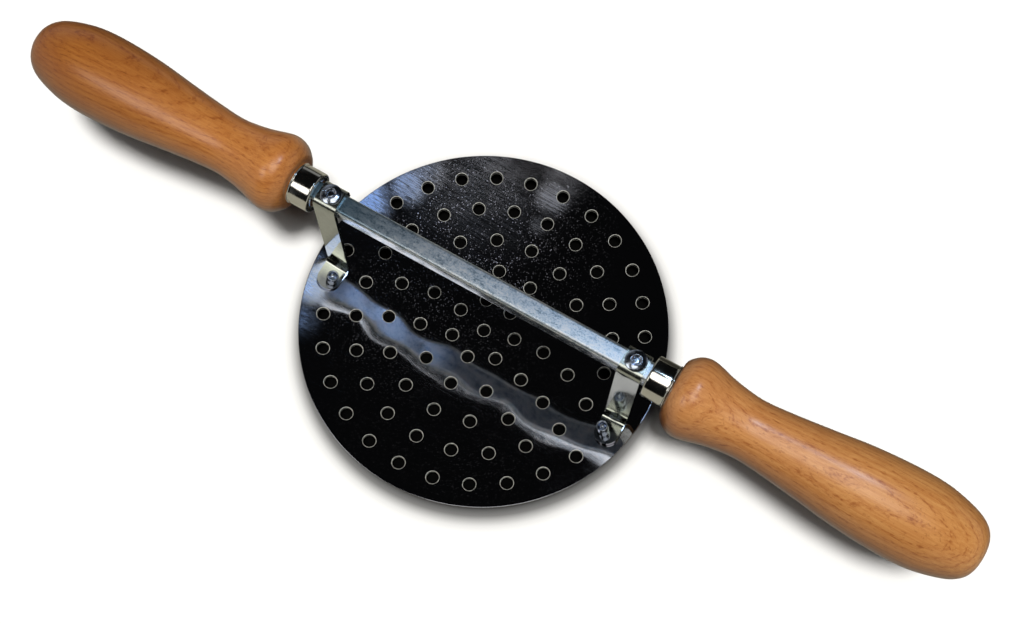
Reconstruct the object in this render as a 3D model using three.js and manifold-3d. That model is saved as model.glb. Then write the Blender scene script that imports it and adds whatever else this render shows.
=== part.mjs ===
// Hand-held dough press: a perforated dished disc, riveted by two straps to a square
// crossbar with a turned wooden handle at each end. Everything is rigid.
//
// Units are millimetres. The origin is the middle of the land that the disc rests on,
// +X runs along the crossbar to the right handle and +Z points up to the crossbar.

import * as THREE from 'three';
import { mergeVertices } from 'three/addons/utils/BufferGeometryUtils.js';
import Module from 'manifold-3d';

// Disc: a spherical dish, hollow on top, with rings of round holes.
const discRadius = 80;
const discThickness = 1.8;
const dishDepth = 9.4;
const landRadius = 8;
const holeRadius = 2.75;
const ringPitch = 14;
const holesPerRing = [1, 7, 11, 16, 22, 28];

// Crossbar: square tube with rounded corners.
const barAxisAboveRim = 51.8;
const barWidth = 8.5;
const barWall = 0.8;
const barCornerRadius = 1.5;
const barHalfLength = 136;
const openHalfLength = 60;

// Straps: one strip of steel each, hooked over the bar and bent out into a foot.
const strapX = 69.3;
const strapWidth = 10.2;
const strapThickness = 1.5;
const strapBendRadius = 1.5;
const lipDepth = 4;
const legLean = 2.3;
const footGap = 0.3;

// Blind rivets. Sizes run from the seat under the head.
const rivetHeadRadius = 4.5;
const rivetHeadHeight = 1.2;
const rivetBodyRadius = 2.4;
const rivetTailRadius = 2.6;
const rivetTailLength = 5.8;
const rivetBoreRadius = 1.5;
const rivetHoleRadius = 2.5;
const tailMouthRadius = 2;
const tailMouthDepth = 1.3;
const mandrelRadius = 1.3;
const mandrelHeadRadius = 1.8;
const barRivetOffset = 0.6;
const rivetSeatGap = 0.1;

// Ferrules and handles. Distances along the bar run from the middle of the tool.
const ferruleStart = 76;
const ferruleEnd = 86;
const ferruleRadius = 8.65;
const ferruleWall = 0.8;
const ferruleMouthRadius = 5.7;
const spigotRadius = 7.65;
const boreRadius = 5.6;
const boreEnd = 137.5;
const handleEnd = 214.65;

// Facets of the round parts.
const discSegments = 60;
const holeSegments = 12;
const rivetSegments = 14;
const ferruleSegments = 24;
const handleSegments = 24;
const contourSteps = 25;

// Heights that follow from the sizes above.
const dishSphereRadius = (discRadius ** 2 + dishDepth ** 2) / (2 * dishDepth);
const rimTop = dishTop(discRadius);
const barAxis = rimTop + barAxisAboveRim;
const barTop = barAxis + barWidth / 2;
const barBottom = barAxis - barWidth / 2;
const strapTop = barTop + strapThickness;

// The feet are riveted through the two holes of the outer ring just in front of the bar.
const outerRing = holesPerRing.length - 1;
const footHoleIndex = 6;
const footHoleAngle = holeAngle(outerRing, footHoleIndex);
const footRivetX = outerRing * ringPitch * Math.cos(footHoleAngle);
const footRivetY = outerRing * ringPitch * Math.sin(footHoleAngle);
const footSlopeX = slopeOf(footRivetX);
const footSlopeY = slopeOf(footRivetY);
const footDiscTop = dishTop(outerRing * ringPitch);
const footMiddle = footDiscTop + footGap + strapThickness / 2;

const discSteel = new THREE.MeshStandardMaterial({ color: 0x9fa4ab, roughness: 0.12, metalness: 1 });
const strapSteel = new THREE.MeshStandardMaterial({ color: 0xb4b4ac, roughness: 0.2, metalness: 1 });
const zincSteel = new THREE.MeshStandardMaterial({ color: 0x99a4ac, roughness: 0.4, metalness: 1 });
const rivetSteel = new THREE.MeshStandardMaterial({ color: 0xa9b0b8, roughness: 0.25, metalness: 1 });
const nickel = new THREE.MeshStandardMaterial({ color: 0xc9c4b4, roughness: 0.1, metalness: 1 });
const beech = new THREE.MeshStandardMaterial({ color: 0xb5713a, roughness: 0.4, metalness: 0 });

const wasm = await Module();
wasm.setup();

// Height of the dish's spherical surface above its lowest point.
function dishSag(radius) {
  return dishSphereRadius - Math.sqrt(dishSphereRadius ** 2 - radius ** 2);
}

// Top surface of the disc. The ground-off land lowers the whole dish a little.
function dishTop(radius) {
  return dishSag(radius) - dishSag(landRadius) + discThickness;
}

function dishBottom(radius) {
  return Math.max(0, dishSag(radius) - dishSag(landRadius));
}

// Slope of the dish along one axis at a hole of the outer ring.
function slopeOf(coordinate) {
  const ringRadius = outerRing * ringPitch;
  return coordinate / Math.sqrt(dishSphereRadius ** 2 - ringRadius ** 2);
}

// Every ring starts with a hole at the front, on the -Y side.
function holeAngle(ring, index) {
  return -Math.PI / 2 + (2 * Math.PI * index) / holesPerRing[ring];
}

function toManifold(geometry) {
  const bare = geometry.clone();
  bare.deleteAttribute('normal');
  bare.deleteAttribute('uv');
  const merged = mergeVertices(bare, 1e-4);
  return new wasm.Manifold(new wasm.Mesh({
    numProp: 3,
    vertProperties: new Float32Array(merged.attributes.position.array),
    triVerts: new Uint32Array(merged.index.array),
  }));
}

function toGeometry(manifold) {
  const mesh = manifold.getMesh();
  const geometry = new THREE.BufferGeometry();
  geometry.setAttribute('position', new THREE.BufferAttribute(mesh.vertProperties, 3));
  geometry.setIndex(new THREE.BufferAttribute(mesh.triVerts, 1));
  geometry.computeVertexNormals();
  return geometry;
}

// Solid of revolution about +Z from [radius, height] points.
function turned(points, segments) {
  const profile = points.map(([radius, height]) => new THREE.Vector2(radius, height));
  return new THREE.LatheGeometry(profile, segments).rotateX(Math.PI / 2);
}

// The same about the bar's axis, running out along +X (side 1) or -X (side -1).
function turnedAlongBar(points, segments, side) {
  return turned(points, segments).rotateY((side * Math.PI) / 2).translate(0, 0, barAxis);
}

function drill(radius, length, segments) {
  return new THREE.CylinderGeometry(radius, radius, length, segments).rotateX(Math.PI / 2);
}

// Unit vector out of the dish's top surface at a foot rivet, which is also the rivet's axis.
function footNormal(side) {
  return new THREE.Vector3(-side * footSlopeX, -footSlopeY, 1).normalize();
}

// Point on a foot rivet's axis halfway through the disc.
function footHoleMiddle(side) {
  return new THREE.Vector3(side * footRivetX, footRivetY, footDiscTop - discThickness / 2);
}

function alongNormal(geometry, normal, position) {
  const turn = new THREE.Quaternion().setFromUnitVectors(new THREE.Vector3(0, 0, 1), normal);
  return geometry.applyQuaternion(turn).translate(position.x, position.y, position.z);
}

function makeDisc() {
  const radii = [landRadius];
  for (let ring = 1; ring < outerRing; ring += 1) {
    radii.push((ring + 0.5) * ringPitch);
  }
  radii.push(discRadius);
  const lower = radii.map((radius) => [radius, dishBottom(radius)]);
  const upper = radii.map((radius) => [radius, dishTop(radius)]).reverse();
  let disc = toManifold(turned([[0, 0], ...lower, ...upper, [0, dishTop(0)]], discSegments));
  holesPerRing.forEach((count, ring) => {
    for (let index = 0; index < count; index += 1) {
      const angle = holeAngle(ring, index);
      const hole = drill(holeRadius, 4 * discThickness, holeSegments);
      const radius = ring * ringPitch;
      hole.translate(radius * Math.cos(angle), radius * Math.sin(angle), dishTop(radius));
      disc = disc.subtract(toManifold(hole));
    }
  });
  return toGeometry(disc);
}

// Square outline with rounded corners, for the outside or the bore of the tube.
function roundedSquare(target, halfWidth, radius) {
  const corner = halfWidth - radius;
  target.absarc(corner, corner, radius, 0, Math.PI / 2);
  target.absarc(-corner, corner, radius, Math.PI / 2, Math.PI);
  target.absarc(-corner, -corner, radius, Math.PI, 1.5 * Math.PI);
  target.absarc(corner, -corner, radius, 1.5 * Math.PI, 2 * Math.PI);
  target.closePath();
  return target;
}

function barLength(start, end) {
  const section = roundedSquare(new THREE.Shape(), barWidth / 2, barCornerRadius);
  const boreCorner = barCornerRadius - barWall;
  section.holes.push(roundedSquare(new THREE.Path(), barWidth / 2 - barWall, boreCorner));
  const tube = new THREE.ExtrudeGeometry(section, {
    depth: end - start,
    bevelEnabled: false,
    curveSegments: 3,
  });
  return tube.translate(0, 0, start).rotateY(Math.PI / 2).translate(0, 0, barAxis);
}

// The tube is joined from three lengths, so that the open stretch between the straps has
// flat faces of its own.
function makeCrossbar() {
  const ends = [-barHalfLength, -openHalfLength, openHalfLength, barHalfLength];
  let bar = toManifold(barLength(ends[0], ends[1]));
  bar = bar.add(toManifold(barLength(ends[1], ends[2])));
  bar = bar.add(toManifold(barLength(ends[2], ends[3])));
  for (const side of [-1, 1]) {
    const hole = drill(rivetHoleRadius, barWidth / 2, holeSegments);
    bar = bar.subtract(toManifold(hole.translate(side * strapX, barRivetOffset, barTop)));
  }
  return toGeometry(bar);
}

// Rounds each inner corner of an open [y, z] path with an arc of a few points.
function roundCorners(corners, radius) {
  const arcSteps = 4;
  const path = [corners[0]];
  for (let i = 1; i < corners.length - 1; i += 1) {
    const corner = corners[i];
    const back = corners[i - 1].clone().sub(corner).normalize();
    const ahead = corners[i + 1].clone().sub(corner).normalize();
    const halfAngle = Math.acos(back.dot(ahead)) / 2;
    const reach = radius / Math.tan(halfAngle);
    const start = corner.clone().addScaledVector(back, reach);
    const end = corner.clone().addScaledVector(ahead, reach);
    const curve = new THREE.QuadraticBezierCurve(start, corner, end);
    path.push(...curve.getPoints(arcSteps));
  }
  path.push(corners[corners.length - 1]);
  return path;
}

// Closed outline of a strip of the given thickness centred on a path.
function stripOutline(path, thickness) {
  const left = [];
  const right = [];
  path.forEach((point, i) => {
    const before = path[Math.max(i - 1, 0)];
    const after = path[Math.min(i + 1, path.length - 1)];
    const along = after.clone().sub(before).normalize();
    const across = new THREE.Vector2(-along.y, along.x).multiplyScalar(thickness / 2);
    left.push(point.clone().add(across));
    right.push(point.clone().sub(across));
  });
  return new THREE.Shape([...left, ...right.reverse()]);
}

// Side view of the strap as a centre line in [y, z]: lip, top, leg and foot.
function strapCentreLine() {
  const half = barWidth / 2 + strapThickness / 2;
  const foldY = -half - legLean;
  const endY = footRivetY - strapWidth / 2;
  const footHeight = (y) => footMiddle + footSlopeY * (y - footRivetY);
  return [
    new THREE.Vector2(half, barTop - lipDepth),
    new THREE.Vector2(half, barTop + strapThickness / 2),
    new THREE.Vector2(-half, barTop + strapThickness / 2),
    new THREE.Vector2(foldY, footHeight(foldY)),
    new THREE.Vector2(endY, footHeight(endY)),
  ];
}

// Top view of the strap in [x, y]: a strip whose front end is a half circle.
function strapPlan() {
  const half = strapWidth / 2;
  const plan = new THREE.Shape();
  plan.moveTo(half, barWidth);
  plan.lineTo(-half, barWidth);
  plan.lineTo(-half, footRivetY);
  plan.absarc(0, footRivetY, half, Math.PI, 2 * Math.PI);
  plan.closePath();
  return plan;
}

// Twists the lower leg and the foot so that the foot lies along the dish.
function followDish(geometry) {
  const position = geometry.attributes.position;
  for (let i = 0; i < position.count; i += 1) {
    const height = position.getZ(i);
    const share = THREE.MathUtils.clamp((barBottom - height) / (barBottom - footMiddle), 0, 1);
    const rise = share * footSlopeX * (Math.abs(position.getX(i)) - footRivetX);
    position.setZ(i, height + rise);
  }
  return geometry;
}

function makeBracket(side) {
  const path = roundCorners(strapCentreLine(), strapBendRadius);
  const strip = new THREE.ExtrudeGeometry(stripOutline(path, strapThickness), {
    depth: strapWidth,
    bevelEnabled: false,
  });
  strip.translate(0, 0, -strapWidth / 2).rotateX(Math.PI / 2).rotateZ(Math.PI / 2);
  const plan = new THREE.ExtrudeGeometry(strapPlan(), {
    depth: strapTop + strapThickness,
    bevelEnabled: false,
    curveSegments: 10,
  });
  const flat = toManifold(strip).intersect(toManifold(plan));
  const bent = followDish(toGeometry(flat).translate(side * strapX, 0, 0));
  const barHole = drill(rivetHoleRadius, barWidth, holeSegments);
  barHole.translate(side * strapX, barRivetOffset, strapTop);
  const footHole = alongNormal(
    drill(rivetHoleRadius, 6 * strapThickness, holeSegments),
    footNormal(side),
    footHoleMiddle(side),
  );
  return toGeometry(toManifold(bent).subtract(toManifold(barHole)).subtract(toManifold(footHole)));
}

// Blind rivet with its head above z = 0 and its set tail below the gripped sheets.
function makeRivet(grip) {
  const tailEnd = -grip - rivetTailLength;
  const mouth = tailEnd + tailMouthDepth;
  return turned([
    [rivetBoreRadius, mouth],
    [tailMouthRadius, tailEnd],
    [rivetTailRadius - 0.1, tailEnd],
    [rivetTailRadius, mouth],
    [rivetTailRadius, -grip - 1],
    [rivetBodyRadius, -grip - 0.2],
    [rivetBodyRadius, 0],
    [rivetHeadRadius, 0],
    [rivetHeadRadius - 0.2, 0.4],
    [rivetHeadRadius * 0.72, rivetHeadHeight * 0.85],
    [rivetBodyRadius, rivetHeadHeight],
    [rivetBoreRadius, rivetHeadHeight - 0.3],
    [rivetBoreRadius, mouth],
  ], rivetSegments);
}

// Pin left in a set rivet: it breaks inside the head, and its own head fills the tail's mouth.
function makeMandrel(grip) {
  const tailEnd = -grip - rivetTailLength;
  return turned([
    [0, tailEnd - 0.1],
    [mandrelHeadRadius * 0.6, tailEnd],
    [mandrelHeadRadius - 0.1, tailEnd + 0.3],
    [mandrelRadius, tailEnd + tailMouthDepth],
    [mandrelRadius, rivetHeadHeight - 0.6],
    [0, rivetHeadHeight - 0.4],
  ], rivetSegments);
}

function makeFerrule(side) {
  const inner = ferruleRadius - ferruleWall;
  return turnedAlongBar([
    [ferruleMouthRadius, ferruleStart],
    [ferruleRadius - 0.8, ferruleStart],
    [ferruleRadius - 0.2, ferruleStart + 0.3],
    [ferruleRadius, ferruleStart + 0.9],
    [ferruleRadius, ferruleEnd - 0.8],
    [ferruleRadius + 0.3, ferruleEnd],
    [inner, ferruleEnd],
    [inner, ferruleStart + ferruleWall],
    [ferruleMouthRadius, ferruleStart + ferruleWall],
    [ferruleMouthRadius, ferruleStart],
  ], ferruleSegments, side);
}

// Outside of a handle in [distance from the middle of the tool, radius].
function handleContour() {
  const curve = new THREE.SplineCurve([
    new THREE.Vector2(ferruleEnd + 0.1, 11.2),
    new THREE.Vector2(88.5, 14.3),
    new THREE.Vector2(95, 16.7),
    new THREE.Vector2(104, 14.7),
    new THREE.Vector2(120, 12.45),
    new THREE.Vector2(147, 15.1),
    new THREE.Vector2(168, 17.5),
    new THREE.Vector2(184, 18.05),
    new THREE.Vector2(198, 16.6),
    new THREE.Vector2(208, 13.4),
    new THREE.Vector2(213.2, 8.4),
    new THREE.Vector2(handleEnd, 3),
  ]);
  return curve.getPoints(contourSteps).map((point) => [point.y, point.x]);
}

function makeHandle(side) {
  return turnedAlongBar([
    [0, boreEnd],
    [boreRadius, boreEnd],
    [boreRadius, ferruleStart + 1],
    [spigotRadius, ferruleStart + 1],
    [spigotRadius, ferruleEnd + 0.1],
    ...handleContour(),
    [0, handleEnd],
  ], handleSegments, side);
}

const press = new THREE.Group();

function add(name, geometry, material, parent = press) {
  const mesh = new THREE.Mesh(geometry, material);
  mesh.name = name;
  parent.add(mesh);
}

// Rivet and mandrel in a group whose +Z is the way that the rivet's head points.
function addRivet(name, grip, seat, headDirection) {
  const group = new THREE.Group();
  group.position.copy(seat);
  group.quaternion.setFromUnitVectors(new THREE.Vector3(0, 0, 1), headDirection);
  add(name, makeRivet(grip), rivetSteel, group);
  add(`${name}_mandrel`, makeMandrel(grip), rivetSteel, group);
  press.add(group);
}

add('perforated_disc', makeDisc(), discSteel);
add('crossbar', makeCrossbar(), zincSteel);

for (const [hand, side] of [['left', -1], ['right', 1]]) {
  add(`${hand}_bracket`, makeBracket(side), strapSteel);
  add(`${hand}_ferrule`, makeFerrule(side), nickel);
  add(`${hand}_handle`, makeHandle(side), beech);

  const barSeat = new THREE.Vector3(side * strapX, barRivetOffset, strapTop + rivetSeatGap);
  const barGrip = rivetSeatGap + strapThickness + barWall;
  addRivet(`${hand}_bar_rivet`, barGrip, barSeat, new THREE.Vector3(0, 0, 1));

  // The foot rivets enter from below, so their heads are under the disc.
  const down = footNormal(side).negate();
  const footSeat = footHoleMiddle(side).addScaledVector(down, discThickness / 2 + 2 * rivetSeatGap);
  const footGrip = 2 * rivetSeatGap + discThickness + footGap + strapThickness;
  addRivet(`${hand}_foot_rivet`, footGrip, footSeat, down);
}

export default press;
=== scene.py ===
"""Looks for the hand-held dough press: fine meshes, materials, light and camera.

Lengths are in millimetres in the part's own frame, and become metres where a mesh is made.
"""

import math

import bpy
from mathutils import Euler, Matrix, Vector
from mathutils.geometry import delaunay_2d_cdt


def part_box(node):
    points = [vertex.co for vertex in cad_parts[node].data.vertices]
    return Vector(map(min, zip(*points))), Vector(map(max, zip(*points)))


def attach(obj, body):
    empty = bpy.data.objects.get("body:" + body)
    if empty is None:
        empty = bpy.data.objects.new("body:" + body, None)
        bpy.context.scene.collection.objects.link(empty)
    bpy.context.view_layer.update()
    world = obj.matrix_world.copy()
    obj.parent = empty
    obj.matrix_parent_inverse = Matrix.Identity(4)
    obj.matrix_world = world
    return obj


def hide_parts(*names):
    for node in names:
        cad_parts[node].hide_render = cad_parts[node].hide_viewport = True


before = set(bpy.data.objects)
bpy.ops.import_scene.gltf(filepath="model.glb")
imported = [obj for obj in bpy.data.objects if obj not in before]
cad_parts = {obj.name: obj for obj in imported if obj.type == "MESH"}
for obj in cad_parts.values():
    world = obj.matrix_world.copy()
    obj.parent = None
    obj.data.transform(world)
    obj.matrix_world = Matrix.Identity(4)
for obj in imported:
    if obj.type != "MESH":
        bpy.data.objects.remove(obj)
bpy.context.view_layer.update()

MM = 0.001

# ---------------------------------------------------------------- light

SUN_FROM = (0.115, -0.155, 0.98)
WARM = (1, 0.985, 0.95)
BLUISH = (0.52, 0.72, 1)
SUNS = {
    # power, and width in degrees
    "small_sun": (3.1, 9),
    "wide_sun": (0.8, 26),
}
PANEL_TURN = 30
PANEL_HEIGHT = 620
PANELS = {
    # start and end across the camera's view, start and end along it, radiance, colour
    "right_softbox": ((-130, 150), (-300, 30), 1.9, WARM),
    "left_softbox": ((-700, -336), (-400, -24), 1.9, WARM),
    "softbox_edge": ((-310, -246), (-60, -16), 1.3, WARM),
    "window": ((146, 215), (45, 132), 20, BLUISH),
}
WALL_RADIANCE = 0.28
GLOOM = 0.004

# ---------------------------------------------------------------- sizes read from the frame


def box_mm(node):
    low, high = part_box(node)
    return low / MM, high / MM


DISC_HIGH = box_mm("perforated_disc")[1]
BAR_LOW, BAR_HIGH = box_mm("crossbar")
STRAP_LOW, STRAP_HIGH = box_mm("right_bracket")
FERRULE_LOW, FERRULE_HIGH = box_mm("right_ferrule")
HANDLE_LOW, HANDLE_HIGH = box_mm("right_handle")

DISC_RADIUS = DISC_HIGH.x
RIM_TOP = DISC_HIGH.z
BAR_AXIS = (BAR_LOW.z + BAR_HIGH.z) / 2
BAR_HALF = (BAR_HIGH.z - BAR_LOW.z) / 2
BAR_END = BAR_HIGH.x
STRAP_X = (STRAP_LOW.x + STRAP_HIGH.x) / 2
STRAP_HALF = (STRAP_HIGH.x - STRAP_LOW.x) / 2
STRAP_TOP = STRAP_HIGH.z
FERRULE_START, FERRULE_END = FERRULE_LOW.x, FERRULE_HIGH.x
HANDLE_END = HANDLE_HIGH.x
HANDLE_RADIUS = (HANDLE_HIGH.z - HANDLE_LOW.z) / 2

# ---------------------------------------------------------------- sizes shared with the CAD part

DISC_THICKNESS = 1.8
DISH_DEPTH = 9.4
LAND_RADIUS = 8
HOLE_RADIUS = 2.75
RING_PITCH = 14
HOLES_PER_RING = (1, 7, 11, 16, 22, 28)
STRAP_THICKNESS = STRAP_TOP - BAR_HIGH.z
FOOT_HOLE = 6  # counted from the front of the outer ring
BAR_WALL = 0.8
BAR_RIVET_OFFSET = 0.6
RIVET_HEAD_RADIUS = 4.5
RIVET_TAIL = 5.8

DISH_SPHERE = (DISC_RADIUS**2 + DISH_DEPTH**2) / (2 * DISH_DEPTH)


def dish_sag(radius):
    return DISH_SPHERE - math.sqrt(DISH_SPHERE**2 - radius**2)


def dish_top(radius):
    return dish_sag(radius) - dish_sag(LAND_RADIUS) + DISC_THICKNESS


def hole_place(ring, index):
    angle = -math.pi / 2 + 2 * math.pi * index / HOLES_PER_RING[ring]
    return Vector((math.cos(angle), math.sin(angle))) * ring * RING_PITCH


OUTER_RING = len(HOLES_PER_RING) - 1
FOOT_RIVET = hole_place(OUTER_RING, FOOT_HOLE)
FOOT_DROP = math.sqrt(DISH_SPHERE**2 - FOOT_RIVET.length_squared)
FOOT_SLOPE = FOOT_RIVET / FOOT_DROP
FOOT_TOP = dish_top(FOOT_RIVET.length)

# ---------------------------------------------------------------- meshes


def make_piece(name, points, faces, materials, face_materials=None):
    """Smooth-shaded mesh object from points in millimetres."""
    mesh = bpy.data.meshes.new(name)
    mesh.from_pydata([Vector(point) * MM for point in points], [], faces)
    for material in materials:
        mesh.materials.append(material)
    if face_materials:
        mesh.polygons.foreach_set("material_index", face_materials)
    mesh.polygons.foreach_set("use_smooth", [True] * len(mesh.polygons))
    mesh.update()
    piece = bpy.data.objects.new(name, mesh)
    bpy.context.scene.collection.objects.link(piece)
    return piece


def stand_for(piece, node):
    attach(piece, "root")
    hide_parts(node)


def arc(centre, radius, start, end, steps):
    """Points of an arc in a profile's plane, angles in degrees."""
    points = []
    for step in range(steps + 1):
        angle = math.radians(start + (end - start) * step / steps)
        points.append((centre[0] + radius * math.cos(angle), centre[1] + radius * math.sin(angle)))
    return points


def revolve(profile, segments, ripple=None):
    """Points and faces of a profile of (radius, height) turned about +Z.

    A profile that starts or ends on the axis is capped there. ripple(angle, radius) may
    change the radius.
    """
    points, faces, rows = [], [], []
    for radius, height in profile:
        if radius < 1e-6:
            rows.append([len(points)] * segments)
            points.append((0, 0, height))
            continue
        row = []
        for step in range(segments):
            angle = 2 * math.pi * step / segments
            here = ripple(angle, radius) if ripple else radius
            row.append(len(points))
            points.append((here * math.cos(angle), here * math.sin(angle), height))
        rows.append(row)
    for low, high in zip(rows, rows[1:]):
        for step in range(segments):
            after = (step + 1) % segments
            corners = [low[step], low[after], high[after], high[step]]
            corners = list(dict.fromkeys(corners))
            if len(corners) > 2:
                faces.append(corners)
    return points, faces


def turn_points(points, direction, origin):
    """Moves points made about +Z so that +Z becomes direction and the origin becomes origin."""
    turn = Vector((0, 0, 1)).rotation_difference(Vector(direction))
    return [turn @ Vector(point) + Vector(origin) for point in points]


def smooth_curve(knots, steps):
    """Catmull-Rom curve through 2-D knots."""
    knots = [Vector(knot) for knot in knots]
    knots = [2 * knots[0] - knots[1], *knots, 2 * knots[-1] - knots[-2]]
    points = []
    for a, b, c, d in zip(knots, knots[1:], knots[2:], knots[3:]):
        for step in range(steps):
            t = step / steps
            linear = (c - a) * t
            square = (2 * a - 5 * b + 4 * c - d) * t**2
            cubic = (3 * b - a - 3 * c + d) * t**3
            points.append((2 * b + linear + square + cubic) / 2)
    points.append(knots[-2])
    return points


# ---------------------------------------------------------------- the perforated disc

DISC_WAVES = (
    # amplitude, wavelength, direction in degrees, phase
    (0.050, 47, 42, 0.6),
    (0.036, 31, -38, 2.1),
    (0.024, 22, 33, 4.0),
    (0.010, 15, -52, 1.3),
)
RIM_ROUND = 0.35
HOLE_LIP = 0.20
LIP_RADIUS = HOLE_RADIUS + HOLE_LIP
HOLE_STEPS = 40
RIM_STEPS = 264
SHEET_STEP = 2.2
RIM_CLEARANCE = 1.2
LIP_CLEARANCE = 0.9
SHEET, BURR_AND_HIGHLIGHT = 0, 1


def disc_wave(x, y):
    """The unevenness of a hand-pressed sheet."""
    height = 0
    for amplitude, wavelength, direction, phase in DISC_WAVES:
        angle = math.radians(direction)
        along = x * math.cos(angle) + y * math.sin(angle)
        height += amplitude * math.sin(2 * math.pi * along / wavelength + phase)
    return height


def sheet_height(x, y):
    return dish_top(math.hypot(x, y)) + disc_wave(x, y)


def sheet_point(x, y, rise):
    """A point over the disc's top surface, or under it, but never below the worktop."""
    return Vector((x, y, max(sheet_height(x, y) + rise, 0)))


def sheet_normal(x, y):
    step = 0.5
    slope_x = (sheet_height(x + step, y) - sheet_height(x - step, y)) / (2 * step)
    slope_y = (sheet_height(x, y + step) - sheet_height(x, y - step)) / (2 * step)
    return Vector((-slope_x, -slope_y, 1)).normalized()


def circle(centre, radius, steps):
    turn = 2 * math.pi / steps
    return [
        Vector((centre.x + radius * math.cos(turn * i), centre.y + radius * math.sin(turn * i)))
        for i in range(steps)
    ]


def sheet_grid(holes, limit):
    """Evenly spaced points on the sheet that keep clear of the holes."""
    points = []
    row_step = SHEET_STEP * math.sqrt(3) / 2
    rows = int(limit / row_step) + 1
    for row in range(-rows, rows + 1):
        shift = SHEET_STEP / 2 if row % 2 else 0
        columns = int(limit / SHEET_STEP) + 1
        for column in range(-columns, columns + 1):
            point = Vector((column * SHEET_STEP + shift, row * row_step))
            if point.length > limit - RIM_CLEARANCE:
                continue
            if all((point - hole).length > LIP_RADIUS + LIP_CLEARANCE for hole in holes):
                points.append(point)
    return points


def hole_wall():
    """Wall of a punched hole from the top down, as (radius, rise, material number)."""
    underside = -DISC_THICKNESS
    return [
        (HOLE_RADIUS + 0.12, -0.02, BURR_AND_HIGHLIGHT),
        (HOLE_RADIUS + 0.05, -0.06, BURR_AND_HIGHLIGHT),
        (HOLE_RADIUS - 0.01, -0.14, BURR_AND_HIGHLIGHT),
        (HOLE_RADIUS - 0.04, -0.30, SHEET),
        (HOLE_RADIUS - 0.05, -0.50, SHEET),
        (HOLE_RADIUS - 0.08, underside + 0.42, SHEET),
        (HOLE_RADIUS - 0.10, underside + 0.28, BURR_AND_HIGHLIGHT),
        (HOLE_RADIUS - 0.08, underside + 0.12, BURR_AND_HIGHLIGHT),
        (HOLE_RADIUS + 0.02, underside, BURR_AND_HIGHLIGHT),
    ]


def rim_wall():
    """The disc's rounded outer edge, written in the same way."""
    underside = -DISC_THICKNESS
    return [
        (DISC_RADIUS - 0.25, -0.02, SHEET),
        (DISC_RADIUS - 0.12, -0.08, SHEET),
        (DISC_RADIUS - 0.03, -0.20, SHEET),
        (DISC_RADIUS, -0.38, SHEET),
        (DISC_RADIUS, underside + 0.4, SHEET),
        (DISC_RADIUS - 0.05, underside + 0.15, SHEET),
        (DISC_RADIUS - 0.2, underside + 0.02, SHEET),
    ]


def sheet_mesh(loops, holes, limit):
    """The flat sheet between the loops: points, triangles and each loop point's place in them."""
    flat = [point for loop in loops for point in loop]
    edges, start = [], 0
    for loop in loops:
        edges += [(start + i, start + (i + 1) % len(loop)) for i in range(len(loop))]
        start += len(loop)
    flat += sheet_grid(holes, limit)
    placed, _, triangles, sources, _, _ = delaunay_2d_cdt(flat, edges, [], 0, 1e-5)
    index_of = {source: i for i, group in enumerate(sources) for source in group}

    def in_sheet(triangle):
        middle = sum((placed[i] for i in triangle), Vector((0, 0))) / 3
        clear = all((middle - hole).length > LIP_RADIUS for hole in holes)
        return clear and middle.length < limit

    return placed, [tuple(triangle) for triangle in triangles if in_sheet(triangle)], index_of


def make_disc(steel, burr_and_highlight_steel):
    holes = [hole_place(ring, i) for ring, count in enumerate(HOLES_PER_RING) for i in range(count)]
    middle = Vector((0, 0))
    limit = DISC_RADIUS - RIM_ROUND
    loops = [circle(hole, LIP_RADIUS, HOLE_STEPS) for hole in holes]
    loops.append(circle(middle, limit, RIM_STEPS))
    placed, triangles, index_of = sheet_mesh(loops, holes, limit)
    count = len(placed)
    points = [sheet_point(p.x, p.y, 0) for p in placed]
    points += [sheet_point(p.x, p.y, -DISC_THICKNESS) for p in placed]
    faces = triangles + [tuple(i + count for i in reversed(t)) for t in triangles]
    kinds = [SHEET] * len(faces)

    def add_wall(first, steps, centre, sections, turned_out):
        """Joins the sheet's top to its underside by rings along the sections."""
        rows = [[index_of[first + i] for i in range(steps)]]
        for radius, rise, _ in sections:
            row = []
            for spot in circle(centre, radius, steps):
                row.append(len(points))
                points.append(sheet_point(spot.x, spot.y, rise))
            rows.append(row)
        rows.append([index + count for index in rows[0]])
        row_kinds = [kind for _, _, kind in sections] + [sections[-1][2]]
        for upper, lower, kind in zip(rows, rows[1:], row_kinds):
            for i in range(steps):
                after = (i + 1) % steps
                face = (upper[i], lower[i], lower[after], upper[after])
                faces.append(face if turned_out else face[::-1])
                kinds.append(kind)

    for number, hole in enumerate(holes):
        add_wall(number * HOLE_STEPS, HOLE_STEPS, hole, hole_wall(), False)
    add_wall(len(holes) * HOLE_STEPS, RIM_STEPS, middle, rim_wall(), True)
    piece = make_piece("dished_disc", points, faces, [steel, burr_and_highlight_steel], kinds)
    normals = [normal.vector.copy() for normal in piece.data.vertex_normals]
    for index, spot in enumerate(placed):
        normals[index] = sheet_normal(spot.x, spot.y)
        normals[index + count] = -normals[index]
    piece.data.normals_split_custom_set_from_vertices(normals)
    stand_for(piece, "perforated_disc")


# ---------------------------------------------------------------- the crossbar

BAR_CORNER = 1.5
BAR_CORNER_STEPS = 8
BAR_STEPS = 80


def rounded_square(half, corner, steps):
    inner = half - corner
    points = []
    for quarter, (sx, sy) in enumerate(((1, 1), (-1, 1), (-1, -1), (1, -1))):
        points += arc((sx * inner, sy * inner), corner, 90 * quarter, 90 * quarter + 90, steps)
    return points


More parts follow.
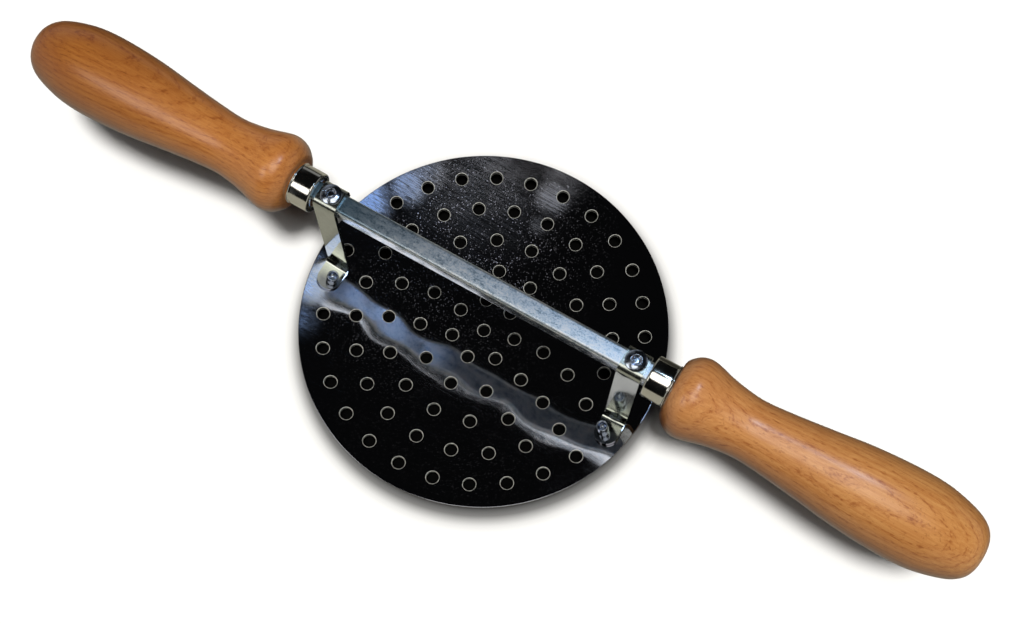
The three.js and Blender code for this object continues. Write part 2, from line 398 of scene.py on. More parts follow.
def make_crossbar(material):
    outer = rounded_square(BAR_HALF, BAR_CORNER, BAR_CORNER_STEPS)
    inner = rounded_square(BAR_HALF - BAR_WALL, BAR_CORNER - BAR_WALL, BAR_CORNER_STEPS)
    stations = [BAR_END * (2 * i / BAR_STEPS - 1) for i in range(BAR_STEPS + 1)]
    rings = [[(x, y, BAR_AXIS + z) for y, z in outer] for x in stations]
    rings += [[(x, y, BAR_AXIS + z) for y, z in inner] for x in reversed(stations)]
    count = len(outer)
    points = [point for ring in rings for point in ring]
    faces = []
    for row in range(len(rings)):
        here, there = row * count, (row + 1) % len(rings) * count
        for i in range(count):
            after = (i + 1) % count
            faces.append((here + i, here + after, there + after, there + i))
    piece = make_piece("square_tube", points, faces, [material])
    stand_for(piece, "crossbar")


# ---------------------------------------------------------------- the straps

TOP_BEND = 2.2
FOOT_BEND = 3.2
LIP_DEPTH = 4
LEG_LEAN = 2.3
FOOT_GAP = 0.3
BEND_STEPS = 12
STRAP_STEP = 2
STRAP_COLUMNS = 8
STRAP_EDGE = 0.22
FOOT_END_STEPS = 14
FOOT_END_TURN = 86


def bend_path(corners, radii, steps):
    """Rounds the inner corners of a path with arcs and adds points on its straight runs."""
    corners = [Vector(corner) for corner in corners]
    path = [corners[0]]
    for before, corner, after, radius in zip(corners, corners[1:], corners[2:], radii):
        back, ahead = (before - corner).normalized(), (after - corner).normalized()
        half = back.angle(ahead) / 2
        reach = radius / math.tan(half)
        centre = corner + (back + ahead).normalized() * radius / math.sin(half)
        start, end = corner + back * reach, corner + ahead * reach
        sweep = (start - centre).angle_signed(end - centre)
        for step in range(steps + 1):
            turn = Matrix.Rotation(-sweep * step / steps, 2)
            path.append(centre + turn @ (start - centre))
    path.append(corners[-1])
    filled = []
    for a, b in zip(path, path[1:]):
        pieces = max(1, round((b - a).length / STRAP_STEP))
        filled += [a.lerp(b, i / pieces) for i in range(pieces)]
    return filled + [path[-1]]


def strap_path():
    half = BAR_HALF + STRAP_THICKNESS / 2
    fold = -half - LEG_LEAN
    middle = FOOT_TOP + FOOT_GAP + STRAP_THICKNESS / 2

    def foot_height(y):
        return middle + FOOT_SLOPE.y * (y - FOOT_RIVET.y)

    corners = [
        (half, BAR_HIGH.z - LIP_DEPTH),
        (half, STRAP_TOP - STRAP_THICKNESS / 2),
        (-half, STRAP_TOP - STRAP_THICKNESS / 2),
        (fold, foot_height(fold)),
        (FOOT_RIVET.y, foot_height(FOOT_RIVET.y)),
    ]
    return bend_path(corners, (TOP_BEND, TOP_BEND, FOOT_BEND), BEND_STEPS), foot_height


def strap_rise(x, height):
    """How far the foot's slope across the strap lifts a point."""
    share = (BAR_LOW.z - height) / (BAR_LOW.z - FOOT_TOP)
    return min(max(share, 0), 1) * FOOT_SLOPE.x * (abs(x) - FOOT_RIVET.x)


def make_bracket(name, side, material):
    path, foot_height = strap_path()
    rows = [(point.x, point.y, STRAP_HALF) for point in path]
    for step in range(1, FOOT_END_STEPS):
        angle = math.radians(FOOT_END_TURN * step / (FOOT_END_STEPS - 1))
        y = FOOT_RIVET.y - STRAP_HALF * math.sin(angle)
        rows.append((y, foot_height(y), STRAP_HALF * math.cos(angle)))
    points = []
    for y, z, half in rows:
        for column in range(STRAP_COLUMNS + 1):
            x = side * STRAP_X + half * (2 * column / STRAP_COLUMNS - 1)
            points.append((x, y, z + strap_rise(x, z)))
    faces = []
    for row in range(len(rows) - 1):
        for column in range(STRAP_COLUMNS):
            near = row * (STRAP_COLUMNS + 1) + column
            far = near + STRAP_COLUMNS + 1
            faces.append((near, near + 1, far + 1, far))
    piece = make_piece(name, points, faces, [material])
    solid = piece.modifiers.new("thickness", "SOLIDIFY")
    solid.thickness = STRAP_THICKNESS * MM
    solid.offset = 0
    solid.use_even_offset = True
    edges = piece.modifiers.new("edges", "BEVEL")
    edges.width = STRAP_EDGE * MM
    edges.segments = 3
    edges.limit_method = "ANGLE"
    edges.angle_limit = math.radians(50)
    edges.harden_normals = True
    return piece


# ---------------------------------------------------------------- rivets

RIVET_STEPS = 72
RIVET_BODY = 2.4
RIVET_BULGE = 2.6
RIVET_BORE = 1.42
PIN_STEPS = 56
PIN_RADIUS = 1.38
PIN_HEAD = 1.7
CRIMPS = 4
CRIMP_DEPTH = 0.07
HEAD_GAP = 0.02
HEAD_UNDER_DISC = 0.15


def rivet_profile(grip):
    """Set blind rivet: head above 0, tail below -grip."""
    tail = -grip - RIVET_TAIL
    return [
        (1.75, tail + 1.6),
        (1.85, tail + 0.6),
        (1.95, tail + 0.15),
        *arc((2.2, tail + 0.2), 0.25, 180, 360, 8),
        (2.55, tail + 1.2),
        (RIVET_BULGE, tail + 2.2),
        (RIVET_BULGE - 0.04, -grip - 1.2),
        (RIVET_BODY + 0.02, -grip - 0.3),
        (RIVET_BODY, 0.02),
        (RIVET_HEAD_RADIUS - 0.1, 0.0),
        *arc((RIVET_HEAD_RADIUS - 0.16, 0.18), 0.16, -60, 60, 6),
        (4.15, 0.5),
        (3.7, 0.72),
        (3.2, 0.92),
        (2.75, 1.08),
        *arc((2.35, 1.0), 0.2, 60, 150, 6),
        (1.95, 0.85),
        (1.6, 0.7),
        (1.45, 0.55),
        (RIVET_BORE, 0.2),
        (RIVET_BORE, tail + 2.2),
        (1.75, tail + 1.6),
    ]


def mandrel_profile(grip):
    """Pin left in the rivet, broken off inside the head, with its own head in the tail."""
    tail = -grip - RIVET_TAIL
    return [
        (0, tail - 0.08),
        (0.5, tail - 0.04),
        (0.85, tail + 0.08),
        (1.02, tail + 0.3),
        (1.2, tail + 0.75),
        (PIN_HEAD - 0.02, tail + 0.95),
        (PIN_HEAD, tail + 1.4),
        (PIN_RADIUS, tail + 2.1),
        (PIN_RADIUS, 0.3),
        (1.3, 0.62),
        (1.0, 0.72),
        (0.6, 0.66),
        (0, 0.78),
    ]


def crimped(angle, radius):
    """Crimp marks that the setting tool leaves round the mandrel."""
    return radius * (1 + CRIMP_DEPTH * math.cos(CRIMPS * angle))


def make_rivet(name, node, grip, seat, direction, steel):
    points, faces = revolve(rivet_profile(grip), RIVET_STEPS)
    piece = make_piece(name, turn_points(points, direction, seat), faces, [steel])
    stand_for(piece, node)
    points, faces = revolve(mandrel_profile(grip), PIN_STEPS, crimped)
    pin = make_piece(name + "_pin", turn_points(points, direction, seat), faces, [steel])
    stand_for(pin, node + "_mandrel")


def make_rivets(hand, side, steel):
    """One rivet head up through the strap into the bar, and one tail up through disc and foot."""
    seat = (side * STRAP_X, BAR_RIVET_OFFSET, STRAP_TOP + HEAD_GAP)
    grip = STRAP_THICKNESS + BAR_WALL
    make_rivet(hand + "_top_rivet", hand + "_bar_rivet", grip, seat, (0, 0, 1), steel)
    down = -Vector((-side * FOOT_SLOPE.x, -FOOT_SLOPE.y, 1)).normalized()
    middle = Vector((side * FOOT_RIVET.x, FOOT_RIVET.y, FOOT_TOP - DISC_THICKNESS / 2))
    seat = middle + down * (DISC_THICKNESS / 2 + HEAD_UNDER_DISC)
    grip = HEAD_UNDER_DISC + DISC_THICKNESS + FOOT_GAP + STRAP_THICKNESS
    make_rivet(hand + "_lower_rivet", hand + "_foot_rivet", grip, seat, down, steel)


# ---------------------------------------------------------------- ferrules and handles

FERRULE_RADIUS = 8.65
FERRULE_MOUTH = 5.7
FERRULE_WALL = 0.8
FERRULE_STEPS = 96
SPIGOT_RADIUS = 7.65
SPIGOT_START = FERRULE_START + 1
SHOULDER = FERRULE_END + 0.1
BORE_RADIUS = 5.6
BORE_END = 137.5
HANDLE_STEPS = 128
KNOT_STEPS = 7


def ferrule_profile():
    inner = FERRULE_RADIUS - FERRULE_WALL
    return [
        (FERRULE_MOUTH, FERRULE_START + FERRULE_WALL),
        (FERRULE_MOUTH, FERRULE_START + 0.15),
        (FERRULE_MOUTH + 0.15, FERRULE_START),
        *arc((FERRULE_RADIUS - 0.9, FERRULE_START + 0.9), 0.9, -90, 0, 10),
        (FERRULE_RADIUS, FERRULE_START + 1.6),
        (FERRULE_RADIUS + 0.04, FERRULE_START + 4.5),
        (FERRULE_RADIUS, FERRULE_END - 1.5),
        (FERRULE_RADIUS - 0.03, FERRULE_END - 0.95),
        *arc((FERRULE_RADIUS - 0.05, FERRULE_END - 0.38), 0.36, -70, 90, 8),
        (inner, FERRULE_END),
        (inner, FERRULE_START + FERRULE_WALL),
        (FERRULE_MOUTH, FERRULE_START + FERRULE_WALL),
    ]


def handle_profile():
    """Bore, spigot and turned outside; the knots of the outside are (along, radius)."""
    knots = [
        (SHOULDER, 9.6),
        (FERRULE_END + 0.25, 10.9),
        (FERRULE_END + 1.0, 12.6),
        (89.6, 15.1),
        (92.3, 16.35),
        (95.3, 16.72),
        (99.2, 16.0),
        (105, 14.4),
        (112, 13.1),
        (120, 12.45),
        (132, 13.4),
        (147, 15.15),
        (160, 16.8),
        (172, 17.75),
        (184, HANDLE_RADIUS),
        (193, 17.5),
        (201, 15.8),
        (207.4, 13.6),
        (211.4, 10.9),
        (213.6, 7.6),
        (HANDLE_END - 0.12, 3.4),
        (HANDLE_END, 0),
    ]
    outside = [(radius, along) for along, radius in smooth_curve(knots, KNOT_STEPS)]
    outside[-1] = (0, HANDLE_END)
    return [
        (0, BORE_END),
        (BORE_RADIUS, BORE_END),
        (BORE_RADIUS, SPIGOT_START),
        (SPIGOT_RADIUS, SPIGOT_START),
        (SPIGOT_RADIUS, SHOULDER),
        *outside,
    ]


def make_turned(name, profile, steps, side, material):
    """A piece turned about the bar's axis."""
    points, faces = revolve(profile, steps)
    points = turn_points(points, (side, 0, 0), (0, 0, BAR_AXIS))
    return make_piece(name, points, faces, [material])


# ---------------------------------------------------------------- materials


class Nodes:
    """A node tree, written as short calls."""

    def __init__(self, tree, coordinates):
        self.tree = tree
        self.tree.nodes.clear()
        self.place = self.add("ShaderNodeTexCoord").outputs[coordinates]

    def add(self, kind, **settings):
        node = self.tree.nodes.new(kind)
        for key, value in settings.items():
            setattr(node, key, value)
        return node

    def link(self, source, target):
        self.tree.links.new(source, target)

    def feed(self, node, **values):
        """Sets or links a node's inputs; underscores in a name stand for spaces."""
        for key, value in values.items():
            socket = node.inputs[key.replace("_", " ")]
            if isinstance(value, bpy.types.NodeSocket):
                self.link(value, socket)
            else:
                socket.default_value = value
        return node

    def stretched(self, scale, turn=(0, 0, 0), shift=(0, 0, 0)):
        """Object coordinates in millimetres, scaled per axis."""
        mapping = self.add("ShaderNodeMapping")
        mapping.inputs["Scale"].default_value = [s / MM for s in scale]
        mapping.inputs["Rotation"].default_value = [math.radians(t) for t in turn]
        mapping.inputs["Location"].default_value = shift
        self.link(self.place, mapping.inputs["Vector"])
        return mapping.outputs["Vector"]

    def noise(self, vector, detail, roughness=0.5, distortion=0.0):
        node = self.add("ShaderNodeTexNoise")
        self.feed(node, Vector=vector, Scale=1.0, Detail=detail, Roughness=roughness)
        self.feed(node, Distortion=distortion)
        return node.outputs["Fac"]

    def dots(self, scale, rarity, size):
        """Round dots, scale to a millimetre; rarity from 0 to 1 leaves that share of them out."""
        node = self.add("ShaderNodeTexVoronoi")
        self.feed(node, Vector=self.stretched((scale, scale, scale)), Scale=1.0)
        shape = self.ramp(node.outputs["Distance"], (0.6 * size, 1), (size, 0))
        kept = self.ramp(node.outputs["Color"], (rarity, 0), (1, 1))
        return self.product(shape, kept)

    def ramp(self, value, *stops):
        """Colour ramp; each stop is (position, number or colour)."""
        node = self.add("ShaderNodeValToRGB")
        elements = node.color_ramp.elements
        while len(elements) < len(stops):
            elements.new(0.5)
        for element, (position, colour) in zip(elements, stops):
            element.position = position
            grey = isinstance(colour, (int, float))
            element.color = (colour, colour, colour, 1) if grey else (*colour, 1)
        self.link(value, node.inputs["Fac"])
        return node.outputs["Color"]

    def rise(self, axis, low, high):
        """0 at low millimetres along an axis and 1 at high; the rest is clamped."""
        split = self.add("ShaderNodeSeparateXYZ")
        self.link(self.stretched((1, 1, 1)), split.inputs["Vector"])
        node = self.add("ShaderNodeMapRange")
        self.feed(node, Value=split.outputs[axis], From_Min=low, From_Max=high)
        return node.outputs["Result"]

    def math(self, operation, *values):
        node = self.add("ShaderNodeMath", operation=operation)
        for socket, value in zip(node.inputs, values):
            if isinstance(value, bpy.types.NodeSocket):
                self.link(value, socket)
            else:
                socket.default_value = value
        return node.outputs["Value"]

    def total(self, start, *parts):
        """start plus every (value, weight) multiplied out."""
        for value, weight in parts:
            start = self.math("ADD", start, self.math("MULTIPLY", value, weight))
        return start

    def product(self, first, *others):
        for value in others:
            first = self.math("MULTIPLY", first, value)
        return first

    def blend(self, mode, share, first, second):
        """Mixes two colours. On this node input 0 is the share and 6 and 7 are the colours."""
        node = self.add("ShaderNodeMix", data_type="RGBA", blend_type=mode)
        for index, value in ((0, share), (6, first), (7, second)):
            if isinstance(value, bpy.types.NodeSocket):
                self.link(value, node.inputs[index])
            elif index == 0:
                node.inputs[index].default_value = value
            else:
                node.inputs[index].default_value = (*value, 1)
        return node.outputs[2]

    def tinted(self, colour, *tints):
        """Multiplies a colour by the tint of every (share, tint), as far as the share says."""
        for share, tint in tints:
            colour = self.blend("MULTIPLY", share, colour, tint)
        return colour

    def distance_to(self, x, y):
        """Distance in millimetres from a point, seen from above."""
        node = self.add("ShaderNodeVectorMath", operation="DISTANCE")
        self.link(self.stretched((1, 1, 0)), node.inputs[0])
        node.inputs[1].default_value = (x, y, 0)
        return node.outputs["Value"]

    def bump(self, height, distance, strength, normal=None):
        """Bump of a height map; distance is the relief in millimetres."""
        node = self.add("ShaderNodeBump")
        self.feed(node, Height=height, Distance=distance * MM, Strength=strength)
        if normal is not None:
            self.link(normal, node.inputs["Normal"])
        return node.outputs["Normal"]


class Surface(Nodes):
    """The nodes of one material, round a principled shader."""

    def __init__(self, name):
        self.material = bpy.data.materials.new(name)
        self.material.use_nodes = True
        super().__init__(self.material.node_tree, "Object")
        self.shader = self.add("ShaderNodeBsdfPrincipled")
        output = self.add("ShaderNodeOutputMaterial")
        self.link(self.shader.outputs["BSDF"], output.inputs["Surface"])

    def surface(self, **values):
        self.feed(self.shader, **values)


# x, y and radius of a patch, and how strong it is in the middle
RUBBED_SPOTS = (
    (-74, 24, 15, 1.0),
    (-80, -22, 17, 0.9),
    (-72, -38, 14, 0.5),
    (-57, 50, 16, 0.6),
    (-62, 40, 13, 0.9),
    (-30, 52, 46, 0.38),
    (-36, 70, 18, 0.5),
    (-3, 76, 16, 0.5),
    (-4, 67, 12, 1.0),
    (-3, 54, 8, 0.6),
    (66, -50, 15, 0.3),
)
DUSTY_SPOTS = (
    (-24, 36, 64, 1.0),
    (-32, -10, 52, 0.4),
    (10, -40, 70, 0.12),
)


def patches(m, spots):
    """The strongest patch at each point: full inside a third of its radius, 0 outside it."""
    total = None
    for x, y, radius, strength in spots:
        fade = m.ramp(m.math("DIVIDE", m.distance_to(x, y), radius), (0.3, strength), (1, 0))
        total = m.math("MAXIMUM", total, fade) if total else fade
    return total


def disc_material():
    """Mirror-polished stainless sheet with fine straight scratches, rubbed haze and dust, and a
    bluish reflection painted into its colour at the left edge.
    """
    steel, blue_reflection_tint, dust_grey = (0.46, 0.46, 0.50), (0.38, 0.54, 0.92), (0.44, 0.44, 0.56)
    m = Surface("polished_disc")
    cloud = m.noise(m.stretched((0.04, 0.05, 0.05), turn=(0, 0, -20)), detail=5, roughness=0.6)
    strokes = m.noise(m.stretched((0.05, 2.6, 1), turn=(0, 0, 34)), detail=4, roughness=0.7)
    hairs = m.noise(m.stretched((0.03, 7, 1), turn=(0, 0, 31)), detail=2)
    scratch = m.ramp(hairs, (0.66, 0), (0.74, 1))
    stroked = m.ramp(strokes, (0.38, 0.4), (0.58, 1))
    haze = m.product(patches(m, RUBBED_SPOTS), stroked, m.ramp(cloud, (0.3, 0.85), (0.6, 1)))
    specks = m.math("MAXIMUM", m.dots(1.5, 0.55, 0.38), m.dots(0.8, 0.80, 0.28))
    dust = m.product(specks, m.ramp(cloud, (0.36, 0.3), (0.56, 1)), patches(m, DUSTY_SPOTS))
    # painted reflection: the hazy patches at the left edge are tinted bluish in the colour
    blue_reflection_share = m.product(haze, m.rise("X", -52, -72))
    m.surface(
        Base_Color=m.blend("MIX", dust, m.blend("MIX", blue_reflection_share, steel, blue_reflection_tint), dust_grey),
        Metallic=m.total(1.0, (dust, -0.5)),
        Roughness=m.total(0.045, (haze, 0.32), (dust, 0.40), (scratch, 0.10)),
        Normal=m.bump(strokes, 0.004, m.product(haze, 0.8)),
    )
    return m.material


def burr_and_highlight_material():
    """Dull burr that the punch leaves round the holes; its pale colour is a painted highlight on the
    hole edges.
    """
    # the pale colour paints the bright rings of highlight round the holes
    dark, bright = (0.34, 0.34, 0.31), (0.95, 0.94, 0.86)
    m = Surface("punched_edge_and_highlight")
    wear = m.noise(m.stretched((0.9, 0.9, 0.9)), detail=4)
    m.surface(
        Base_Color=m.ramp(wear, (0.3, dark), (0.7, bright)),
        Metallic=0.4,
        Roughness=m.ramp(wear, (0.3, 0.34), (0.7, 0.48)),
        Normal=m.bump(wear, 0.02, 0.4),
    )
    return m.material


def zinc_material():
    """Zinc plating: cloudy bluish grey, sandy above and below, with shade painted darker on the top
    towards its left end.
    """
    dark, middle, light = (0.30, 0.41, 0.50), (0.76, 0.85, 0.93), (1, 1, 1)
    top_left_shade_tint = (0.30, 0.40, 0.46)
    m = Surface("zinc_plate")
    mottle = m.noise(m.stretched((0.25, 0.5, 0.5)), detail=6, roughness=0.7)
    pits = m.noise(m.stretched((1.3, 1.7, 1.7)), detail=4, roughness=0.8)
    lines = m.noise(m.stretched((0.03, 3.5, 3.5)), detail=3)
    tone = m.total(0.0, (mottle, 0.5), (pits, 0.5))
    top = m.rise("Z", BAR_HIGH.z - 1.2, BAR_HIGH.z - 0.2)
    underside = m.rise("Z", BAR_LOW.z + 1.2, BAR_LOW.z + 0.2)
    sandy = m.math("ADD", top, underside)
    # painted shade: the top darkens towards the bar's left end
    top_left_shade = m.product(top, m.rise("X", -18, -62))
    colour = m.ramp(tone, (0.40, dark), (0.49, middle), (0.58, light))
    smooth = m.ramp(tone, (0.40, 0.12), (0.60, 0.26))
    pitted = m.bump(pits, 0.03, m.total(0.15, (sandy, 0.35)))
    m.surface(
        Base_Color=m.tinted(colour, (top_left_shade, top_left_shade_tint)),
        Metallic=0.96,
        Roughness=m.total(smooth, (lines, 0.04), (sandy, 0.19)),
        Normal=m.bump(lines, 0.008, 0.4, pitted),
    )
    return m.material


def strap_material():
    """Polished stainless strip, scuffed where it wraps the bar, with shade painted darker on the
    foot.
    """
    dark, light, foot_shade_tint = (0.48, 0.50, 0.44), (0.62, 0.64, 0.58), (0.30, 0.30, 0.36)
    m = Surface("strap_steel")
    lines = m.noise(m.stretched((5, 0.12, 0.12)), detail=4)
    scuffs = m.noise(m.stretched((0.5, 0.6, 0.4)), detail=5, roughness=0.7)
    wrapped = m.rise("Z", STRAP_TOP - 2.9, STRAP_TOP - 0.4)
    # painted shade: the foot plate is tinted darker
    foot = m.product(m.rise("Z", FOOT_TOP + 4, FOOT_TOP + 2.6), m.rise("Y", -11, -17))
    m.surface(
        Base_Color=m.tinted(m.ramp(scuffs, (0.3, dark), (0.7, light)), (foot, foot_shade_tint)),
        Metallic=1.0,
        Roughness=m.total(m.ramp(scuffs, (0.35, 0.06), (0.75, 0.15)), (wrapped, 0.16)),
        Normal=m.bump(lines, 0.004, 0.3, m.bump(scuffs, 0.03, 0.25)),
    )
    return m.material


def rivet_material():
    """Bright plated rivets with tool marks."""
    dark, bright = (0.40, 0.46, 0.58), (0.74, 0.80, 0.90)
    m = Surface("rivet_steel")
    marks = m.noise(m.stretched((1.3, 1.3, 1.3)), detail=4, roughness=0.6)
    m.surface(
        Base_Color=m.ramp(marks, (0.3, dark), (0.7, bright)),
        Metallic=1.0,
        Roughness=m.ramp(marks, (0.3, 0.11), (0.7, 0.26)),
        Normal=m.bump(marks, 0.05, 0.35),
    )
    return m.material


def nickel_material():
    """Bright nickel plating with faint turning lines and finger haze."""
    dark, bright = (0.74, 0.71, 0.62), (0.86, 0.84, 0.77)
    m = Surface("nickel_plate")
    lines = m.noise(m.stretched((6, 0.2, 0.2)), detail=3)
    haze = m.noise(m.stretched((0.25, 0.25, 0.25)), detail=5, roughness=0.6)
    m.surface(
        Base_Color=m.ramp(haze, (0.3, dark), (0.7, bright)),
        Metallic=1.0,
        Roughness=m.ramp(haze, (0.35, 0.09), (0.75, 0.17)),
        Normal=m.bump(lines, 0.006, 0.3),
    )
    return m.material


RING_SPACING = 2.3
LEFT_TONES = ((0.54, 0.226, 0.062), (0.30, 0.106, 0.018))
RIGHT_TONES = ((0.58, 0.272, 0.096), (0.58, 0.280, 0.088))
WOODS = {
    # y, z and climb of the pith, seed, colours near the ferrule and at the far end, shade painted
    # low on the side the feet point to
    "left": ((14, 118, 0.10), 11, LEFT_TONES, 0.0),
    "right": ((-22, 104, -0.08), 37, RIGHT_TONES, 0.7),
}


def beech_material(name, side, pith, seed, tones, low_side_shade):
    """Varnished beech: growth rings round a distant pith, short dark flecks and fine pores.

    The rings are centred on the pith, which climbs along the handle. The last argument is how
    far shade is painted darker low on the side that the feet point to.
    """
    m = Surface(name)
    split = m.add("ShaderNodeSeparateXYZ")
    m.link(m.stretched((side, 1, 1)), split.inputs["Vector"])
    along = split.outputs["X"]
    across = m.math("SUBTRACT", split.outputs["Y"], pith[0])
    height = m.total(m.math("SUBTRACT", split.outputs["Z"], pith[1]), (along, pith[2]))
    squares = m.math("ADD", m.math("POWER", across, 2), m.math("POWER", height, 2))
    bend = m.noise(m.stretched((0.012, 0.03, 0.03), shift=(seed, 0, 0)), detail=2)
    wobble = m.noise(m.stretched((0.05, 0.18, 0.18), shift=(seed, 5, 0)), detail=3)
    distance = m.total(m.math("SQRT", squares), (bend, 9), (wobble, 2.2))
    wave = m.math("SINE", m.product(distance, 2 * math.pi / RING_SPACING))
    rings = m.math("POWER", m.total(0.5, (wave, 0.5)), 3)
    streaks = m.noise(m.stretched((0.03, 1.1, 1.1), shift=(seed, 0, 0)), detail=4, roughness=0.6)
    cloud = m.noise(m.stretched((0.02, 0.05, 0.05), shift=(seed, 3, 0)), detail=3)
    pores = m.noise(m.stretched((0.9, 6, 6), shift=(seed, 7, 0)), detail=2)
    grain = m.add("ShaderNodeCombineXYZ")
    m.feed(grain, X=m.product(along, 0.40), Y=m.product(distance, 2.4), Z=m.product(across, 0.55))
    dashes = m.noise(grain.outputs["Vector"], detail=4, roughness=0.6, distortion=0.3)
    fleck = m.ramp(dashes, (0.58, 0), (0.64, 1))
    broken = m.ramp(dashes, (0.46, 0.12), (0.58, 0.65))
    past_ferrule = m.math("SUBTRACT", along, FERRULE_END)
    run = m.math("DIVIDE", past_ferrule, HANDLE_END - FERRULE_END)
    # painted shade: darker low on the side that the feet point to
    low = m.product(m.rise("Z", BAR_AXIS + 15, BAR_AXIS + 2), m.rise("Y", -6, -13))
    colour = m.tinted(
        m.ramp(run, (0.0, tones[0]), (1.0, tones[1])),
        (m.ramp(cloud, (0.3, 0.7), (0.6, 0.0)), (0.80, 0.72, 0.66)),
        (m.product(low, low_side_shade), (0.42, 0.28, 0.12)),
        (m.product(rings, broken), (0.62, 0.42, 0.29)),
        (m.ramp(streaks, (0.36, 0.0), (0.68, 0.75)), (0.74, 0.58, 0.44)),
        (m.product(fleck, 0.42), (0.52, 0.35, 0.25)),
        (m.product(m.ramp(pores, (0.60, 0), (0.72, 1)), 0.5), (0.60, 0.42, 0.30)),
    )
    relief = m.math("SUBTRACT", m.product(streaks, 0.4), fleck)
    m.surface(
        Base_Color=colour,
        Roughness=m.ramp(streaks, (0.3, 0.36), (0.7, 0.46)),
        Normal=m.bump(relief, 0.03, 0.35),
        Specular_IOR_Level=0.3,
        Coat_Weight=0.7,
        Coat_Roughness=0.28,
        Coat_IOR=1.8,
    )
    return m.material


# ---------------------------------------------------------------- the object


def build_object():
    make_disc(disc_material(), burr_and_highlight_material())
    make_crossbar(zinc_material())
    strap_steel, rivet_steel, nickel = strap_material(), rivet_material(), nickel_material()
    for hand, side in (("left", -1), ("right", 1)):
        strap = make_bracket(hand + "_strap", side, strap_steel)
        stand_for(strap, hand + "_bracket")
        cup = make_turned(hand + "_cup", ferrule_profile(), FERRULE_STEPS, side, nickel)
        stand_for(cup, hand + "_ferrule")
        wood = beech_material("beech_" + hand, side, *WOODS[hand])
        grip = make_turned(hand + "_grip", handle_profile(), HANDLE_STEPS, side, wood)
        stand_for(grip, hand + "_handle")
        make_rivets(hand, side, rivet_steel)


# ---------------------------------------------------------------- the stage

FLOOR_HALF = 6000
FLOOR_WHITE = (0.90, 0.90, 0.90)
MIRRORED_HEIGHT = -0.1
MIRRORED_GREY = (0.29, 0.285, 0.25)
BOUNCE_HEIGHT = -0.2
BOUNCE_GREY = (0.14, 0.14, 0.13)
SHADE_HEIGHT = 0.02
SHADE_CENTRE = (0.25, -0.43)
SHADE_CORE = 76
SHADE_RADIUS = 88.5
SHADE_STEPS = 96
BACKDROP_RADIUS = 5500
BACKDROP_OUTLINE = ((BACKDROP_RADIUS, -200), (BACKDROP_RADIUS, 6000), (0, 9000))
BACKDROP_STEPS = 64


def hide_from(piece, *rays):
    """Hides a stage piece from these kinds of ray."""
    for ray in rays:
        setattr(piece, "visible_" + ray, False)


def plain_material(name, colour):
    m = Surface(name)
    m.surface(Base_Color=(*colour, 1), Roughness=0.9, Specular_IOR_Level=0.0)
    return m.material


def backdrop_material():
    m = Surface("backdrop")
    m.surface(Base_Color=(0, 0, 0, 1), Emission_Color=(1, 1, 1, 1), Emission_Strength=1.0)
    m.material.cycles.emission_sampling = "NONE"
    return m.material


def mirrored_floor_material():
    """The floor as the metal sees it: pale, with shade painted in far behind on the right and far
    left.
    """
    m = Surface("floor_in_reflections")
    # painted shade on this floor, far behind on the right and far left
    behind = m.rise("Y", 20, 110)
    lit = m.product(m.rise("X", 20, -60), m.rise("X", -230, -120))
    dark = m.product(behind, m.math("SUBTRACT", 1.0, lit))
    colour = m.blend("MIX", m.product(dark, 0.9), MIRRORED_GREY, (0, 0, 0))
    m.surface(Base_Color=colour, Roughness=0.9, Specular_IOR_Level=0.0)
    return m.material


def make_plane(name, height, material):
    corners = []
    for x, y in ((-1, -1), (1, -1), (1, 1), (-1, 1)):
        corners.append((x * FLOOR_HALF, y * FLOOR_HALF, height))
    plane = make_piece(name, corners, [(0, 1, 2, 3)], [material])
    return plane


def make_floor():
    """White floor for the camera, and greyer ones for the reflections and the bounced light."""
    seen = make_plane("floor", 0, plain_material("floor", FLOOR_WHITE))
    hide_from(seen, "diffuse", "glossy", "shadow")
    mirrored = make_plane("floor_in_reflections", MIRRORED_HEIGHT, mirrored_floor_material())
    hide_from(mirrored, "camera", "diffuse", "shadow")
    bounce_grey = plain_material("floor_as_bounce", BOUNCE_GREY)
    lighting = make_plane("floor_as_bounce", BOUNCE_HEIGHT, bounce_grey)
    hide_from(lighting, "camera", "glossy")


def shade_material():
    """Deep shade that thins out softly at its edge."""
    m = Surface("shade")
    depth = m.math("SUBTRACT", SHADE_RADIUS, m.distance_to(*SHADE_CENTRE))
    depth = m.math("DIVIDE", depth, SHADE_RADIUS - SHADE_CORE)
    fade = m.ramp(depth, (0, 0), (0.25, 0.19), (0.6, 0.78), (1, 1))
    m.surface(Base_Color=(0.002, 0.002, 0.002, 1), Roughness=0.9, Specular_IOR_Level=0.0, Alpha=fade)
    return m.material


def make_shade():
    """The shade under the dish, so that the holes look down into the dark."""
    spots = circle(Vector(SHADE_CENTRE), SHADE_RADIUS, SHADE_STEPS)
    points = [(spot.x, spot.y, SHADE_HEIGHT) for spot in spots]
    shade = make_piece("shade", points, [tuple(range(SHADE_STEPS))], [shade_material()])
    hide_from(shade, "shadow")


def make_backdrop():
    """Pale wall far behind the object, which only the camera sees."""
    points, faces = revolve(BACKDROP_OUTLINE, BACKDROP_STEPS)
    wall = make_piece("backdrop", points, [face[::-1] for face in faces], [backdrop_material()])
    hide_from(wall, "diffuse", "glossy", "transmission", "shadow")


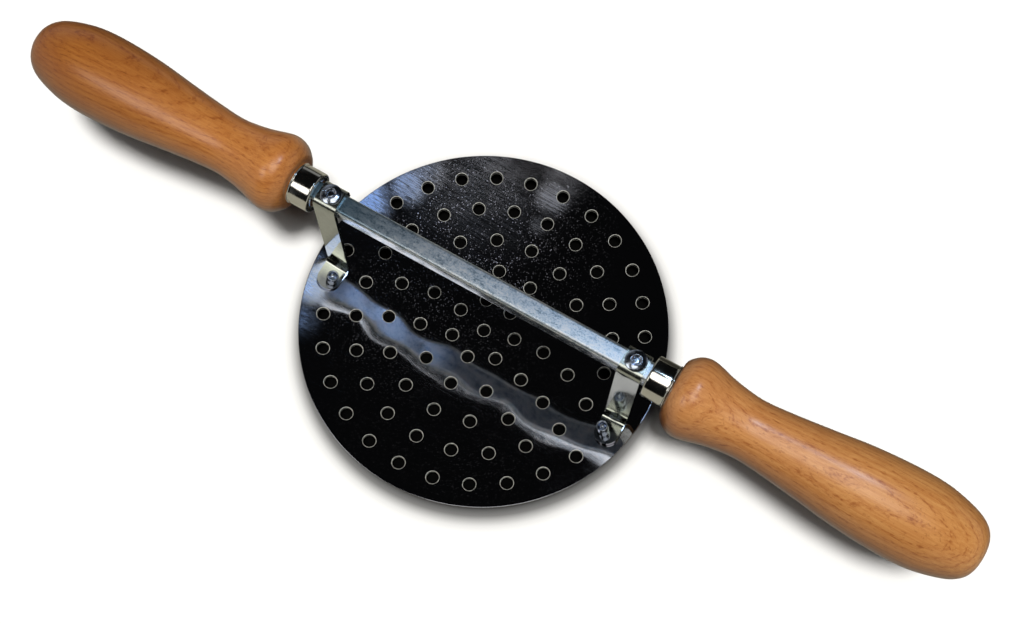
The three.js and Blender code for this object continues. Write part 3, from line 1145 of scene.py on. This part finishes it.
def make_world():
    """Room that is dark overhead and in front, with paler walls low at the sides and back left."""
    world = bpy.data.worlds.new("dim_room")
    bpy.context.scene.world = world
    world.use_nodes = True
    room = Nodes(world.node_tree, "Generated")
    split = room.add("ShaderNodeSeparateXYZ")
    room.link(room.place, split.inputs["Vector"])
    rightward, backward, upward = (split.outputs[axis] for axis in "XYZ")
    sideways = room.ramp(room.math("ABSOLUTE", rightward), (0.36, 0), (0.60, 1))
    walls = room.product(sideways, room.ramp(upward, (0.25, 1), (0.62, 0)))
    behind = room.ramp(backward, (0.80, 0), (0.92, 0.8))
    low_down = room.ramp(upward, (0.20, 1), (0.32, 0))
    on_left = room.ramp(room.product(rightward, -1), (0.10, 0), (0.26, 1))
    brightest = room.math("MAXIMUM", walls, room.product(behind, low_down, on_left))
    back = room.add("ShaderNodeBackground")
    room.feed(back, Color=(0.92, 0.95, 1, 1), Strength=room.total(GLOOM, (brightest, WALL_RADIANCE)))
    output = room.add("ShaderNodeOutputWorld")
    room.link(back.outputs["Background"], output.inputs["Surface"])
    world.cycles_visibility.diffuse = False


def add_light(name, kind, power, colour):
    data = bpy.data.lights.new(name, kind)
    data.energy = power
    data.color = colour
    light = bpy.data.objects.new(name, data)
    bpy.context.scene.collection.objects.link(light)
    return light


def add_sun(name, power, width):
    """High light that casts shadows; the panels make the reflections."""
    sun = add_light(name, "SUN", power, WARM)
    sun.data.angle = math.radians(width)
    sun.rotation_euler = Vector(SUN_FROM).to_track_quat("Z", "Y").to_euler()
    sun.visible_glossy = False


def add_panel(name, across, along, radiance, colour):
    """Bright rectangle above the camera that faces down; it makes the reflections."""
    width = (across[1] - across[0]) * MM
    depth = (along[1] - along[0]) * MM
    panel = add_light(name, "AREA", radiance * math.pi * width * depth, colour)
    panel.data.shape = "RECTANGLE"
    panel.data.size = width
    panel.data.size_y = depth
    turn = Matrix.Rotation(math.radians(PANEL_TURN), 3, "Z")
    panel.location = turn @ Vector((sum(across) / 2, sum(along) / 2, PANEL_HEIGHT)) * MM
    panel.rotation_euler = turn.to_euler()
    panel.visible_diffuse = False


def make_lights():
    make_world()
    for name, sun in SUNS.items():
        add_sun(name, *sun)
    for name, panel in PANELS.items():
        add_panel(name, *panel)


SENSOR_WIDTH = 36
FOCAL_LENGTH = 46.65
CAMERA_PLACE = (104.6, -148.64, RIM_TOP + 543.7)
CAMERA_TURN = (18.92, 0.35, 30.18)


def make_camera():
    data = bpy.data.cameras.new("camera")
    data.sensor_width = SENSOR_WIDTH
    data.lens = FOCAL_LENGTH
    camera = bpy.data.objects.new("camera", data)
    camera.location = Vector(CAMERA_PLACE) * MM
    camera.rotation_euler = Euler([math.radians(turn) for turn in CAMERA_TURN])
    bpy.context.scene.collection.objects.link(camera)
    bpy.context.scene.camera = camera


build_object()
make_floor()
make_shade()
make_backdrop()
make_lights()
make_camera()
bpy.context.scene.view_settings.view_transform = "Standard"
